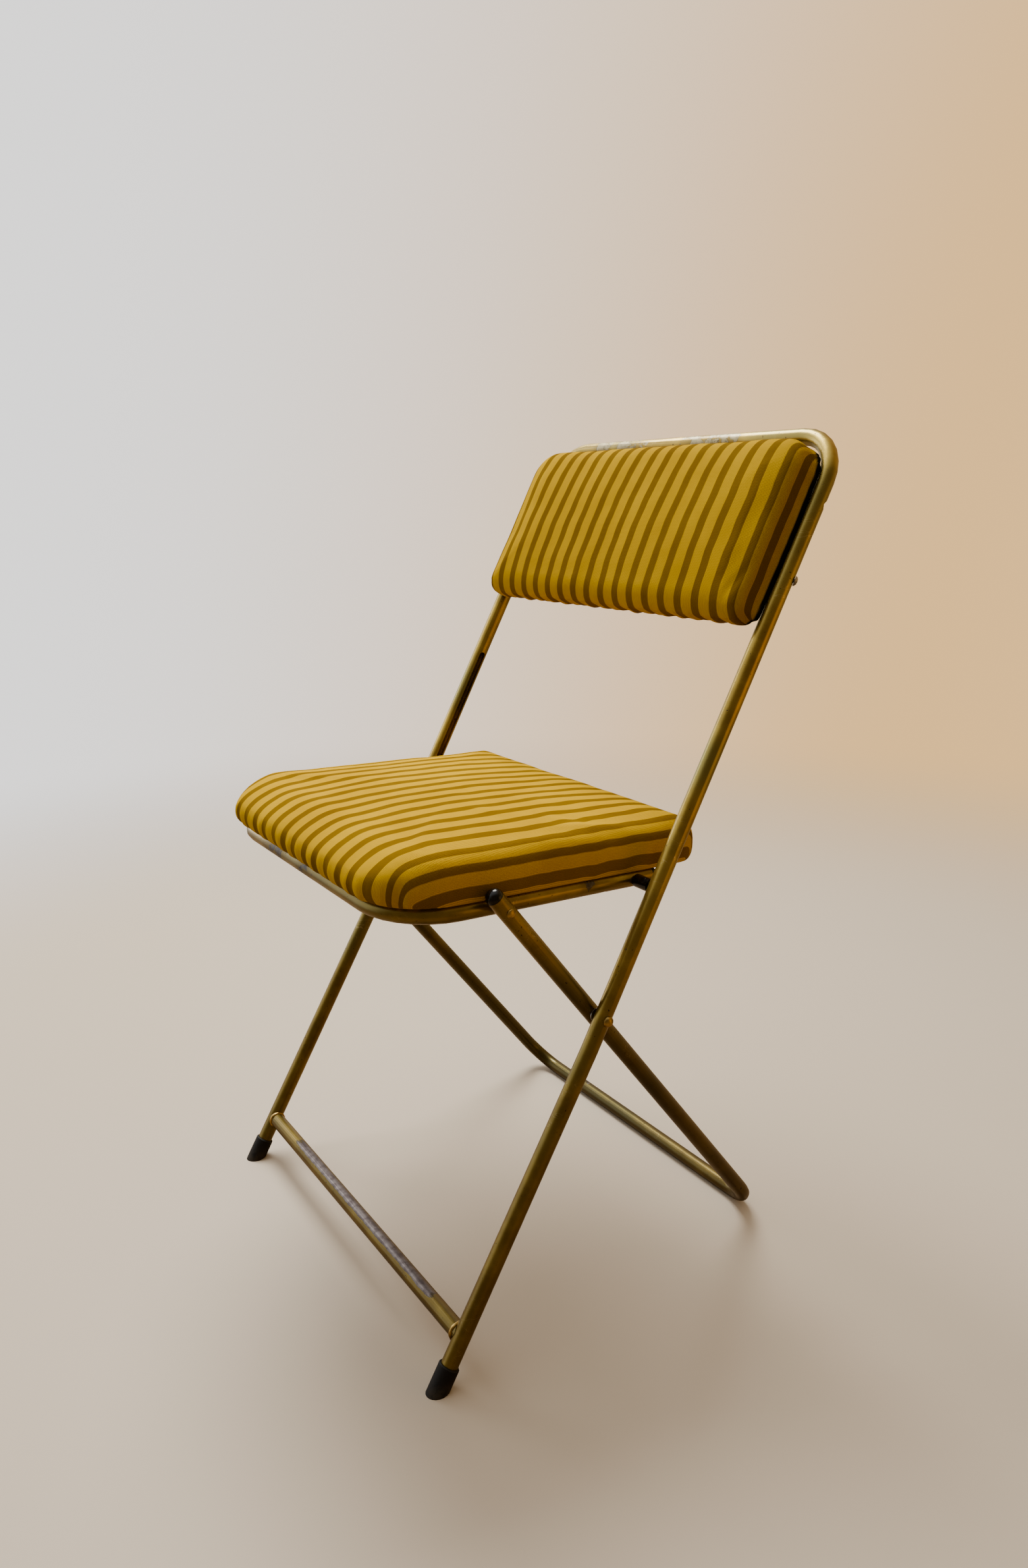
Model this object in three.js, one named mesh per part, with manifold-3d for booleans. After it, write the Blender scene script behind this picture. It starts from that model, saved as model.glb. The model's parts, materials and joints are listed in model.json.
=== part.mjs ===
// A folding chair of bent steel tube with an upholstered seat and backrest.
// Millimetres, +Z up. The sitter faces -Y, and +X is on the sitter's left.
//
// Three bodies fold together. The back frame's uprights carry the cross pivots, on which the
// rear legs turn. The seat hangs on the tops of the rear legs, and its cross rod slides in
// slots in the uprights. Each body is drawn in a frame of its own: the back frame and the
// rear legs at the cross pivot with Z up the tube, the seat at its pivot with Y along its
// side tubes.
import * as THREE from 'three';
import { mergeVertices } from 'three/addons/utils/BufferGeometryUtils.js';
import Module from 'manifold-3d';

const wasm = await Module();
wasm.setup();

// ---- driving dimensions ----

const TUBE_RADIUS = 8;
const TUBE_WALL = 1.2;
const TUBE_BORE = TUBE_RADIUS - TUBE_WALL;
const GAP = 0.3; // left between two pieces that touch
const TUBE_SPACING = 17.6; // upright to rear leg, and rear leg to seat tube
const UPRIGHT_X = 214;
const REAR_LEG_X = UPRIGHT_X - TUBE_SPACING;
const SEAT_TUBE_X = REAR_LEG_X - TUBE_SPACING;

const CROSS_Y = 182.5; // the cross pivot, behind the line where the front feet stand
const CROSS_Z = 300.5;
const UPRIGHT_LEAN = THREE.MathUtils.degToRad(29.5);
const BEND_BELOW_CROSS = 30; // the uprights bend a little there
const TOP_RAIL_Z = 799.4;
const TOP_CORNER_RADIUS = 48;
const RUNG_Z = 43.3;
const TUBE_ABOVE_FLOOR = 8.5; // along the front leg, from the floor to the end of its tube

const REAR_BAR_Y = 401.5;
const REAR_CORNER_RADIUS = 38;
const SEAT_PIVOT = 147; // up the rear leg from the cross pivot
const LEG_TOP = 164.5;

const SLIDE_ROD = 150; // along the seat tube from the seat pivot
const SEAT_TUBE_FRONT = -92.7;
const SEAT_TUBE_END = 170;
const SEAT_CORNER_RADIUS = 58;

const ROD_RADIUS = 2.6;
const ROD_END = 216; // inside the uprights
const BUSH_RADIUS = 6.2;
const SLOT_WIDTH = 7.2;
const SLOT_SHIFT = -0.35; // the rod's path bows forward of the upright's axis
const SLOT_LOW = 122; // up the upright from the cross pivot
const SLOT_HIGH = 306;

const BOARD_THICKNESS = 8;
const PAD_BASE = TUBE_RADIUS + GAP;
const SEAT_PAD = {
  halfWidth: 187,
  low: -106,
  high: 221,
  lowCorner: 58,
  highCorner: 16,
  boardInset: 4.5,
  tuck: 3, // how far the fabric is drawn in beneath, round the board's edge
  shoulder: 34, // the height at which the side wall turns into the crown
  top: 52,
  sideCrown: 26,
  lowCrown: 44,
  highCrown: 14,
};
const BACK_PAD = {
  halfWidth: 213,
  low: 373.5,
  high: 560,
  lowCorner: 24,
  highCorner: 42,
  boardInset: 7,
  tuck: 5.5,
  shoulder: 22,
  top: 42,
  sideCrown: 24,
  lowCrown: 30,
  highCrown: 30,
};

const RIVET_SHANK = 3;
const WASHER_RADIUS = 6.5;
const SCREW_SHANK = 1.75;
const SCREW_ACCESS = 4.8; // hole that lets a hidden screw's head into the tube
const SEAT_SCREW_TIP = 14.5; // along the screw from the tube's axis
const BACK_SCREW_TIP = 19;
const BACK_SCREW_TOE_IN = THREE.MathUtils.degToRad(42);
const BACK_SCREW_HEIGHTS = { lower: 430, upper: 505 };
const SEAT_SCREWS = { rear: [SEAT_TUBE_X, 115], front: [90, SEAT_TUBE_FRONT] };

const TIP_RADIUS = 9.8;
const TIP_LENGTH = 24;

const TUBE_SIDES = 20;
const ROUND_SIDES = 16;
const BEND_STEPS = 7;

// ---- materials ----

function finish(color, roughness, metalness) {
  return () => new THREE.MeshStandardMaterial({ color, roughness, metalness });
}

const goldPaint = finish(0x8a6d2c, 0.38, 0.85);
const brass = finish(0xa9863a, 0.3, 1);
const steel = finish(0x8c8a86, 0.35, 1);
const blackPlastic = finish(0x0c0c0d, 0.25, 0);
const rubber = finish(0x1b1a18, 0.8, 0);
const plywood = finish(0xa9875a, 0.7, 0);
const fabric = finish(0xb98d2a, 0.9, 0);

// ---- solids ----

function toSolid(geometry) {
  const bare = geometry.clone();
  bare.deleteAttribute('normal');
  bare.deleteAttribute('uv');
  const merged = mergeVertices(bare, 1e-4);
  return new wasm.Manifold(new wasm.Mesh({
    numProp: 3,
    vertProperties: new Float32Array(merged.attributes.position.array),
    triVerts: new Uint32Array(merged.index.array),
  }));
}

function toGeometry(solid) {
  const mesh = solid.getMesh();
  const geometry = new THREE.BufferGeometry();
  geometry.setAttribute('position', new THREE.BufferAttribute(new Float32Array(mesh.vertProperties), 3));
  geometry.setIndex(new THREE.BufferAttribute(new Uint32Array(mesh.triVerts), 1));
  geometry.computeVertexNormals();
  return geometry;
}

function cut(geometry, tools) {
  return toGeometry(tools.reduce((solid, tool) => solid.subtract(toSolid(tool)), toSolid(geometry)));
}

function common(geometry, others) {
  return toGeometry(others.reduce((solid, other) => solid.intersect(toSolid(other)), toSolid(geometry)));
}

function piece(group, name, geometry, material) {
  const mesh = new THREE.Mesh(geometry, material());
  mesh.name = name;
  group.add(mesh);
}

function onBothSides(make) {
  make(1, 'left');
  make(-1, 'right');
}

// A piece drawn for the left side, turned over to serve the right.
function toSide(geometry, side) {
  return side > 0 ? geometry : geometry.rotateZ(Math.PI);
}

// ---- round pieces ----

// Geometry drawn up Y, laid along another axis.
function along(axis, geometry) {
  if (axis === 'x') {
    return geometry.rotateZ(-Math.PI / 2);
  }
  return axis === 'z' ? geometry.rotateX(Math.PI / 2) : geometry;
}

function bar(axis, radius, low, high, sides = ROUND_SIDES) {
  const geometry = new THREE.CylinderGeometry(radius, radius, high - low, sides);
  return along(axis, geometry.translate(0, (low + high) / 2, 0));
}

// A turned piece, from a profile of [radius, height] pairs.
function turned(axis, profile, sides = ROUND_SIDES) {
  const points = profile.map(([radius, height]) => new THREE.Vector2(radius, height));
  return along(axis, new THREE.LatheGeometry(points, sides));
}

// The profile of a dome, from the rim of its flat base to its pole.
function dome(radius, base, height, steps = 4) {
  const points = [];
  for (let i = 0; i < steps; i += 1) {
    const angle = (Math.PI / 2) * (i / steps);
    points.push([radius * Math.cos(angle), base + height * Math.sin(angle)]);
  }
  points.push([0, base + height]);
  return points;
}

// A dome that hangs below its base, from its pole to its rim.
function hangingDome(radius, base, height, steps) {
  return dome(radius, -base, height, steps).map(([r, h]) => [r, -h]).reverse();
}

function ring(inner, outer, low, high) {
  return turned('x', [[inner, low], [outer, low], [outer, high], [inner, high], [inner, low]]);
}

// A rivet along X with a domed head beyond each face of what it holds.
function rivet(low, high, lowHead, highHead) {
  return turned('x', [
    ...hangingDome(lowHead.radius, low - GAP, lowHead.height),
    [RIVET_SHANK, low - GAP],
    [RIVET_SHANK, high + GAP],
    ...dome(highHead.radius, high + GAP, highHead.height),
  ]);
}

// A washer that fills the space inboard of a tube's inner face.
function pivotWasher(face) {
  const space = TUBE_SPACING - 2 * TUBE_RADIUS;
  return ring(RIVET_SHANK + GAP, WASHER_RADIUS, face - space + GAP, face - GAP);
}

// A plug for the open end of a tube, which ends at height zero.
function plug() {
  const stem = TUBE_BORE - GAP;
  const head = TUBE_RADIUS;
  const stemLength = 12;
  const rim = 2;
  const height = 8;
  return turned('z', [
    [0, -stemLength],
    [stem - 1, -stemLength],
    [stem, -stemLength + 1],
    [stem, GAP],
    [head, GAP],
    ...dome(head, rim, height - rim),
  ]);
}

// ---- tube along a bent path ----

// A path with a section of tube at each of its stations, so that a straight takes one step.
class TubePath extends THREE.Curve {
  constructor(stations) {
    super();
    this.stations = stations;
  }

  getPoint(t, target = new THREE.Vector3()) {
    const position = t * (this.stations.length - 1);
    const index = Math.min(Math.floor(position), this.stations.length - 2);
    return target.lerpVectors(this.stations[index], this.stations[index + 1], position - index);
  }

  // Each section halves the angle between the two steps that meet at its station.
  getTangent(t, target = new THREE.Vector3()) {
    const last = this.stations.length - 1;
    const index = Math.round(t * last);
    const before = this.direction(Math.max(index - 1, 0));
    const after = this.direction(Math.min(index, last - 1));
    return target.addVectors(before, after).normalize();
  }

  direction(index) {
    return this.stations[index + 1].clone().sub(this.stations[index]).normalize();
  }

  getUtoTmapping(u) {
    return u;
  }
}

function tube(stations) {
  const section = new THREE.Shape();
  section.absarc(0, 0, TUBE_RADIUS, 0, 2 * Math.PI, false);
  const bore = new THREE.Path();
  bore.absarc(0, 0, TUBE_BORE, 0, 2 * Math.PI, true);
  section.holes.push(bore);
  return new THREE.ExtrudeGeometry(section, {
    steps: stations.length - 1,
    curveSegments: TUBE_SIDES / 2,
    extrudePath: new TubePath(stations),
  });
}

// A U of tube, alike on both sides. One leg's points are [Y, Z] pairs. The cross run lies
// where that leg, drawn on along the axis named, reaches crossAt.
function uTube(halfWidth, leg, axis, crossAt, cornerRadius) {
  const half = leg.map(([y, z]) => new THREE.Vector3(halfWidth, y, z));
  const corner = half[half.length - 1].clone();
  const onward = Math.sign(crossAt - corner[axis]);
  corner[axis] = crossAt;
  for (let i = 0; i <= BEND_STEPS; i += 1) {
    const angle = (Math.PI / 2) * (i / BEND_STEPS);
    const station = corner.clone();
    station.x -= cornerRadius * (1 - Math.cos(angle));
    station[axis] -= onward * cornerRadius * (1 - Math.sin(angle));
    half.push(station);
  }
  const otherHalf = half.map(({ x, y, z }) => new THREE.Vector3(-x, y, z)).reverse();
  return tube([...half, ...otherHalf]);
}

// ---- padded boards: X across, Y along the tubes, Z out of them towards the sitter ----

// The outline in plan, drawn in by an inset.
function plan(pad, inset) {
  const x = pad.halfWidth - inset;
  const low = pad.low + inset;
  const high = pad.high - inset;
  const r0 = pad.lowCorner - inset;
  const r1 = pad.highCorner - inset;
  const shape = new THREE.Shape();
  shape.absarc(x - r0, low + r0, r0, -Math.PI / 2, 0, false);
  shape.absarc(x - r1, high - r1, r1, 0, Math.PI / 2, false);
  shape.absarc(r1 - x, high - r1, r1, Math.PI / 2, Math.PI, false);
  shape.absarc(r0 - x, low + r0, r0, Math.PI, 1.5 * Math.PI, false);
  return shape;
}

function slab(shape, bottom, top) {
  const depth = top - bottom;
  const geometry = new THREE.ExtrudeGeometry(shape, { depth, bevelEnabled: false, curveSegments: 5 });
  return geometry.translate(0, 0, bottom);
}

// The crowned section of a cushion between two ends, tucked in beneath at both.
function crown(pad, low, high, lowCrown, highCrown) {
  const { shoulder, tuck } = pad;
  const rise = pad.top - shoulder;
  const roll = (shoulder - PAD_BASE) / 2;
  const shape = new THREE.Shape();
  shape.absellipse(high - tuck, PAD_BASE + roll, tuck, roll, -Math.PI / 2, 0, false, 0);
  shape.absellipse(high - highCrown, shoulder, highCrown, rise, 0, Math.PI / 2, false, 0);
  shape.absellipse(low + lowCrown, shoulder, lowCrown, rise, Math.PI / 2, Math.PI, false, 0);
  shape.absellipse(low + tuck, PAD_BASE + roll, tuck, roll, Math.PI, 1.5 * Math.PI, false, 0);
  return shape;
}

function board(pad) {
  return slab(plan(pad, pad.boardInset), PAD_BASE, PAD_BASE + BOARD_THICKNESS);
}

// Foam and fabric: the outline crowned both ways, hollowed beneath for the board.
function cushion(pad) {
  const reach = 1000;
  const block = slab(plan(pad, 0), 0, pad.top + 1);
  const across = slab(crown(pad, -pad.halfWidth, pad.halfWidth, pad.sideCrown, pad.sideCrown), -reach, reach);
  across.rotateX(Math.PI / 2);
  const lengthwise = slab(crown(pad, pad.low, pad.high, pad.lowCrown, pad.highCrown), -reach, reach);
  lengthwise.rotateX(Math.PI / 2).rotateZ(Math.PI / 2);
  const pocket = slab(plan(pad, pad.boardInset - GAP), 0, PAD_BASE + BOARD_THICKNESS + GAP);
  return cut(common(block, [across, lengthwise]), [pocket]);
}

// A screw from the tube into the board, and the holes it needs. A raised head stands on
// the far side of the tube. A hidden one is inside it, reached through an access hole.
function fixing(x, y, tip, raised, toeIn = 0) {
  const under = raised ? -PAD_BASE : 5;
  const head = raised ? { radius: 5, height: 3 } : { radius: 4, height: 2.2 };
  const screw = turned('z', [
    ...hangingDome(head.radius, under, head.height, 3),
    [SCREW_SHANK, under],
    [SCREW_SHANK, tip - 2],
    [0, tip],
  ], 12);
  const holes = [bar('z', SCREW_SHANK + GAP, under - 1, tip + GAP, 12)];
  if (!raised) {
    holes.push(bar('z', SCREW_ACCESS, -TUBE_RADIUS - 2, 0));
  }
  for (const geometry of [screw, ...holes]) {
    geometry.rotateY(-Math.sign(x) * toeIn).translate(x, y, 0);
  }
  return { screw, holes };
}

// ---- back frame ----

const chair = new THREE.Group();
const backFrame = new THREE.Group();
backFrame.position.set(0, CROSS_Y, CROSS_Z);
backFrame.rotation.x = -UPRIGHT_LEAN;
backFrame.updateMatrixWorld();
chair.add(backFrame);

const toBackFrame = backFrame.matrixWorld.clone().invert();
const foot = new THREE.Vector3(0, 0, 0).applyMatrix4(toBackFrame);
const bend = new THREE.Vector3(0, 0, -BEND_BELOW_CROSS);
const upLeg = bend.clone().sub(foot).normalize();
const legTilt = Math.atan2(-upLeg.y, upLeg.z); // of the lower leg from the upright's line

function onLowerLeg(geometry, x) {
  return geometry.rotateX(legTilt).translate(x, foot.y, foot.z);
}

// The backrest is drawn flat, then stood up against the uprights.
function standUp(geometry) {
  return geometry.rotateX(Math.PI / 2);
}

function slot(side) {
  const radius = SLOT_WIDTH / 2;
  const depth = TUBE_RADIUS + 1;
  const shape = new THREE.Shape();
  shape.absarc(0, SLOT_LOW + radius, radius, Math.PI, 2 * Math.PI, false);
  shape.absarc(0, SLOT_HIGH - radius, radius, 0, Math.PI, false);
  const tool = slab(shape, 0, depth).rotateX(Math.PI / 2).rotateZ(Math.PI / 2);
  return tool.translate(side > 0 ? UPRIGHT_X - depth : -UPRIGHT_X, SLOT_SHIFT, 0);
}

const backFixings = [];
onBothSides((side, word) => {
  for (const [level, height] of Object.entries(BACK_SCREW_HEIGHTS)) {
    const raised = level === 'lower';
    const { screw, holes } = fixing(side * UPRIGHT_X, height, BACK_SCREW_TIP, raised, BACK_SCREW_TOE_IN);
    const name = `backrest_screw_${level}_${word}`;
    backFixings.push({ name, screw: standUp(screw), holes: holes.map(standUp) });
  }
});
const backHoles = backFixings.flatMap(({ holes }) => holes);

const tubeEnd = foot.clone().addScaledVector(upLeg, TUBE_ABOVE_FLOOR);
const topRail = (TOP_RAIL_Z - CROSS_Z) / Math.cos(UPRIGHT_LEAN);
const backLeg = [[tubeEnd.y, tubeEnd.z], [bend.y, bend.z]];
const backU = uTube(UPRIGHT_X, backLeg, 'z', topRail, TOP_CORNER_RADIUS);
const pivotHole = bar('x', RIVET_SHANK + GAP, -UPRIGHT_X - 2 * TUBE_RADIUS, UPRIGHT_X + 2 * TUBE_RADIUS);
piece(backFrame, 'back_frame_tube', cut(backU, [pivotHole, slot(1), slot(-1), ...backHoles]), goldPaint);

// The rung's ends are coped to the legs.
const rungReach = RUNG_Z / Math.cos(UPRIGHT_LEAN - legTilt);
const rungCentre = foot.clone().addScaledVector(upLeg, rungReach);
const rungEnd = UPRIGHT_X - 1;
const rung = tube([new THREE.Vector3(-rungEnd, 0, 0), new THREE.Vector3(rungEnd, 0, 0)]);
rung.translate(0, rungCentre.y, rungCentre.z);
const legClearances = [];
onBothSides((side) => {
  const around = bar('z', TUBE_RADIUS + GAP, 0, 2 * rungReach, 2 * TUBE_SIDES);
  legClearances.push(onLowerLeg(around, side * UPRIGHT_X));
});
piece(backFrame, 'front_rung', cut(rung, legClearances), goldPaint);

const floor = new THREE.BoxGeometry(2000, 2000, 100).translate(0, 0, -50).applyMatrix4(toBackFrame);
onBothSides((side, word) => {
  const bore = TUBE_RADIUS + GAP;
  const cup = turned('z', [
    [0, -TIP_LENGTH / 2],
    [TIP_RADIUS, -TIP_LENGTH / 2],
    [TIP_RADIUS, TIP_LENGTH - 1],
    [TIP_RADIUS - 0.8, TIP_LENGTH],
    [bore, TIP_LENGTH],
    [bore, TUBE_ABOVE_FLOOR - GAP],
    [0, TUBE_ABOVE_FLOOR - GAP],
  ], TUBE_SIDES);
  piece(backFrame, `front_foot_tip_${word}`, cut(onLowerLeg(cup, side * UPRIGHT_X), [floor]), rubber);

  const inside = REAR_LEG_X - TUBE_RADIUS;
  const outside = UPRIGHT_X + TUBE_RADIUS;
  const crossRivet = rivet(inside, outside, { radius: 4.5, height: 2.2 }, { radius: 5.2, height: 3.6 });
  piece(backFrame, `cross_pivot_rivet_${word}`, toSide(crossRivet, side), brass);
  piece(backFrame, `cross_pivot_washer_${word}`, toSide(pivotWasher(UPRIGHT_X - TUBE_RADIUS), side), steel);
});

piece(backFrame, 'backrest_board', cut(standUp(board(BACK_PAD)), backHoles), plywood);
piece(backFrame, 'backrest_cushion', cut(standUp(cushion(BACK_PAD)), backHoles), fabric);
for (const { name, screw } of backFixings) {
  piece(backFrame, name, screw, steel);
}

// ---- rear legs ----

const rearLean = Math.atan2(REAR_BAR_Y - CROSS_Y, CROSS_Z - TUBE_RADIUS);
const rearBar = -Math.hypot(REAR_BAR_Y - CROSS_Y, CROSS_Z - TUBE_RADIUS);
const rearLegs = new THREE.Group();
rearLegs.position.copy(backFrame.position);
rearLegs.rotation.x = rearLean;
chair.add(rearLegs);

const rearU = uTube(REAR_LEG_X, [[0, LEG_TOP]], 'z', rearBar, REAR_CORNER_RADIUS);
const seatPivotHole = pivotHole.clone().translate(0, 0, SEAT_PIVOT);
piece(rearLegs, 'rear_leg_tube', cut(rearU, [pivotHole, seatPivotHole]), goldPaint);
onBothSides((side, word) => {
  piece(rearLegs, `rear_leg_plug_${word}`, plug().translate(side * REAR_LEG_X, 0, LEG_TOP), blackPlastic);
});

// ---- seat ----

// The rod rests in its slots, so the linkage sets the seat's slope.
const openAngle = UPRIGHT_LEAN + rearLean;
const pivotOffset = SEAT_PIVOT * Math.sin(openAngle); // from the seat pivot to the upright's line
const rodAngle = Math.asin(pivotOffset / SLIDE_ROD);
const seatSlope = Math.PI / 2 - UPRIGHT_LEAN - rodAngle;

const seat = new THREE.Group();
seat.position.set(0, 0, SEAT_PIVOT);
seat.rotation.x = seatSlope - rearLean;
rearLegs.add(seat);

const seatFixings = [];
onBothSides((side, word) => {
  for (const [place, [x, y]] of Object.entries(SEAT_SCREWS)) {
    const { screw, holes } = fixing(side * x, y, SEAT_SCREW_TIP, false);
    seatFixings.push({ name: `seat_screw_${place}_${word}`, screw, holes });
  }
});
const seatHoles = seatFixings.flatMap(({ holes }) => holes);

const rodHole = bar('x', ROD_RADIUS + GAP, -ROD_END, ROD_END).translate(0, SLIDE_ROD, 0);
const seatU = uTube(SEAT_TUBE_X, [[SEAT_TUBE_END, 0]], 'y', SEAT_TUBE_FRONT, SEAT_CORNER_RADIUS);
piece(seat, 'seat_frame_tube', cut(seatU, [pivotHole, rodHole, ...seatHoles]), goldPaint);
piece(seat, 'seat_slide_rod', bar('x', ROD_RADIUS, -ROD_END, ROD_END).translate(0, SLIDE_ROD, 0), steel);

onBothSides((side, word) => {
  const end = plug().rotateX(-Math.PI / 2).translate(side * SEAT_TUBE_X, SEAT_TUBE_END, 0);
  piece(seat, `seat_frame_plug_${word}`, end, blackPlastic);

  const inside = SEAT_TUBE_X - TUBE_RADIUS;
  const outside = REAR_LEG_X + TUBE_RADIUS;
  const pivotRivet = rivet(inside, outside, { radius: 4.5, height: 2.2 }, { radius: 4.2, height: 1.7 });
  piece(seat, `seat_pivot_rivet_${word}`, toSide(pivotRivet, side), brass);
  piece(seat, `seat_pivot_washer_${word}`, toSide(pivotWasher(REAR_LEG_X - TUBE_RADIUS), side), steel);

  const bush = ring(ROD_RADIUS + GAP, BUSH_RADIUS, SEAT_TUBE_X + PAD_BASE, UPRIGHT_X - PAD_BASE);
  piece(seat, `seat_slide_bush_${word}`, toSide(bush, side).translate(0, SLIDE_ROD, 0), blackPlastic);
});

piece(seat, 'seat_board', cut(board(SEAT_PAD), seatHoles), plywood);
piece(seat, 'seat_cushion', cushion(SEAT_PAD), fabric);
for (const { name, screw } of seatFixings) {
  piece(seat, name, screw, steel);
}

// The origin is under the middle of the chair, on the floor.
const box = new THREE.Box3().setFromObject(chair, true);
chair.position.set(-(box.min.x + box.max.x) / 2, -(box.min.y + box.max.y) / 2, -box.min.z);

export default chair;
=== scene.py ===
"""A folding chair of gold-painted steel tube with a striped, padded seat and backrest.

Blender 4.5, in metres, +Z up. The sitter faces -Y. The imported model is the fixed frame: its
tubes and fittings stay and get worn materials, and its two cushions are replaced by stuffed,
upholstered ones.
"""

import json
import math

import bmesh
import bpy
import numpy as np
from mathutils import Matrix, Vector, noise


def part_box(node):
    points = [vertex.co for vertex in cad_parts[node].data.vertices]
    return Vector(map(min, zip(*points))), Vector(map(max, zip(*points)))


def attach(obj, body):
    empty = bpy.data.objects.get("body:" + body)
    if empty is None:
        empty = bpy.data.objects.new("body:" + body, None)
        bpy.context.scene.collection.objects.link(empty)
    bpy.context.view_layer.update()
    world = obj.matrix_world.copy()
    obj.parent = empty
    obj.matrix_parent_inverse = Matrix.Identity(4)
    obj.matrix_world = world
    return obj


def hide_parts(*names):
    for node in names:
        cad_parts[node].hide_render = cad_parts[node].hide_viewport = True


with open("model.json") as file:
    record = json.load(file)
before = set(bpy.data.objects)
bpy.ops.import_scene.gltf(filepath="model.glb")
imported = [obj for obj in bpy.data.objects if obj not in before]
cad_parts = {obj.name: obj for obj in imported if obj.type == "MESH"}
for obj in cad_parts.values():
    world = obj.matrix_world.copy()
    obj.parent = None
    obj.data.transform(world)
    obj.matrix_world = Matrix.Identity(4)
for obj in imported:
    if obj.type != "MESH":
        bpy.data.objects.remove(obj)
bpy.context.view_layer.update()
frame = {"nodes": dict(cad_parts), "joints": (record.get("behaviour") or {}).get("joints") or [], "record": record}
MM = 0.001

# ---- where things are ----

UPRIGHT_LEAN = math.radians(29.5)
SEAT_SLOPE = math.radians(3.33)
TUBE_RADIUS = 8 * MM

pivots = {joint["name"]: Vector(joint["pos_m"]) for joint in frame["joints"]}

# Each pad is worked on flat: X across, Y along its tubes, Z out towards the sitter.
SEAT_TILT = Matrix.Rotation(-SEAT_SLOPE, 4, "X")
BACK_TILT = Matrix.Rotation(math.pi / 2 - UPRIGHT_LEAN, 4, "X")
SEAT_PLACE = Matrix.Translation(pivots["seat_fold"]) @ SEAT_TILT
BACK_PLACE = Matrix.Translation(pivots["rear_leg_fold"]) @ BACK_TILT


def flat_box(node, place):
    """The box of a CAD node, measured in a pad's own flat frame."""
    inverse = place.inverted()
    corners = np.array([inverse @ v.co for v in frame["nodes"][node].data.vertices])
    return corners.min(0), corners.max(0)


# ---- materials ----


class Graph:
    """The node graph of one material, wired as it is written."""

    def __init__(self, name):
        self.material = bpy.data.materials.new(name)
        self.material.use_nodes = True
        self.tree = self.material.node_tree
        self.tree.nodes.clear()
        self.shader = self.tree.nodes.new("ShaderNodeBsdfPrincipled")
        output = self.tree.nodes.new("ShaderNodeOutputMaterial")
        self.tree.links.new(self.shader.outputs[0], output.inputs["Surface"])
        self.place = self.tree.nodes.new("ShaderNodeTexCoord").outputs["Object"]

    def put(self, socket, value):
        if isinstance(value, bpy.types.NodeSocket):
            self.tree.links.new(value, socket)
        elif isinstance(value, (tuple, list)) and socket.type == "RGBA":
            socket.default_value = (*value, 1)[:4]
        else:
            socket.default_value = value

    def node(self, kind, inputs, output=0, **settings):
        node = self.tree.nodes.new("ShaderNode" + kind)
        for key, value in settings.items():
            setattr(node, key, value)
        for key, value in inputs.items():
            self.put(node.inputs[key], value)
        return node.outputs[output]

    def math(self, operation, *values):
        return self.node("Math", dict(enumerate(values)), operation=operation)

    def attribute(self, name):
        return self.node("Attribute", {}, "Fac", attribute_name=name)

    def axis(self, index):
        """How far along X, Y or Z the point is."""
        return self.node("SeparateXYZ", {0: self.place}, index)

    def noise(self, scale, detail=3, roughness=0.5, distortion=0, stretch=None, seed=0):
        vector = self.place
        if stretch or seed:
            offset = (seed, 2 * seed, 3 * seed)
            mapping = {"Vector": vector, "Scale": stretch or (1, 1, 1), "Location": offset}
            vector = self.node("Mapping", mapping)
        inputs = {"Vector": vector, "Scale": scale, "Detail": detail}
        inputs |= {"Roughness": roughness, "Distortion": distortion}
        return self.node("TexNoise", inputs)

    def ramp(self, value, low, high, to_low=0, to_high=1):
        """A smooth step from low to high."""
        inputs = {"Value": value, "From Min": low, "From Max": high, "To Min": to_low, "To Max": to_high}
        return self.node("MapRange", inputs, interpolation_type="SMOOTHSTEP")

    def mix(self, factor, first, second, blend="MIX"):
        node = self.tree.nodes.new("ShaderNodeMix")
        node.data_type = "RGBA"
        node.blend_type = blend
        for index, value in ((0, factor), (6, first), (7, second)):
            self.put(node.inputs[index], value)
        return node.outputs[2]

    def tint(self, color, amount):
        """A colour made lighter or darker by a factor that varies."""
        scale = self.node("CombineXYZ", {0: amount, 1: amount, 2: amount})
        return self.mix(1.0, color, scale, "MULTIPLY")

    def near(self, spots):
        """1 close to any of the spots, which are (centre, radius), and 0 away from them."""
        total = 0.0
        for centre, radius in spots:
            distance = self.node("VectorMath", {0: self.place, 1: centre}, "Value", operation="DISTANCE")
            total = self.math("MAXIMUM", total, self.ramp(distance, radius, 0.25 * radius))
        return total

    def bump(self, height, distance, strength=1.0, normal=None):
        inputs = {"Height": height, "Distance": distance, "Strength": strength}
        if normal is not None:
            inputs["Normal"] = normal
        return self.node("Bump", inputs)

    def finish(self, **sockets):
        for name, value in sockets.items():
            self.put(self.shader.inputs[name.replace("_", " ")], value)
        return self.material


GOLD = ((0.225, 0.150, 0.020), (0.345, 0.240, 0.036))
OLIVE_PATINA = (0.185, 0.152, 0.034)
PIT_BROWN = (0.05, 0.03, 0.01)
SCRATCHED_GOLD = (0.46, 0.36, 0.16)
UNDERCOAT = (0.045, 0.034, 0.016)
BARE_STEEL = ((0.055, 0.045, 0.034), (0.115, 0.098, 0.078))
RUBBED_STEEL = ((0.075, 0.056, 0.056), (0.145, 0.122, 0.118))
BARE_BRASS = ((0.26, 0.22, 0.11), (0.40, 0.34, 0.19))

CHIP_EDGE = (0.705, 0.715)  # how worn the paint is where its undercoat shows
CHIP_BARE = (0.722, 0.732)  # and where the metal shows
RUB_EDGE = (0.66, 0.74)
RUB_BARE = (0.72, 0.80)
PAINTED_LIGHT_HEIGHTS = (0.18, 0.42)  # heights between the painted shade near the floor and the painted light above


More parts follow.
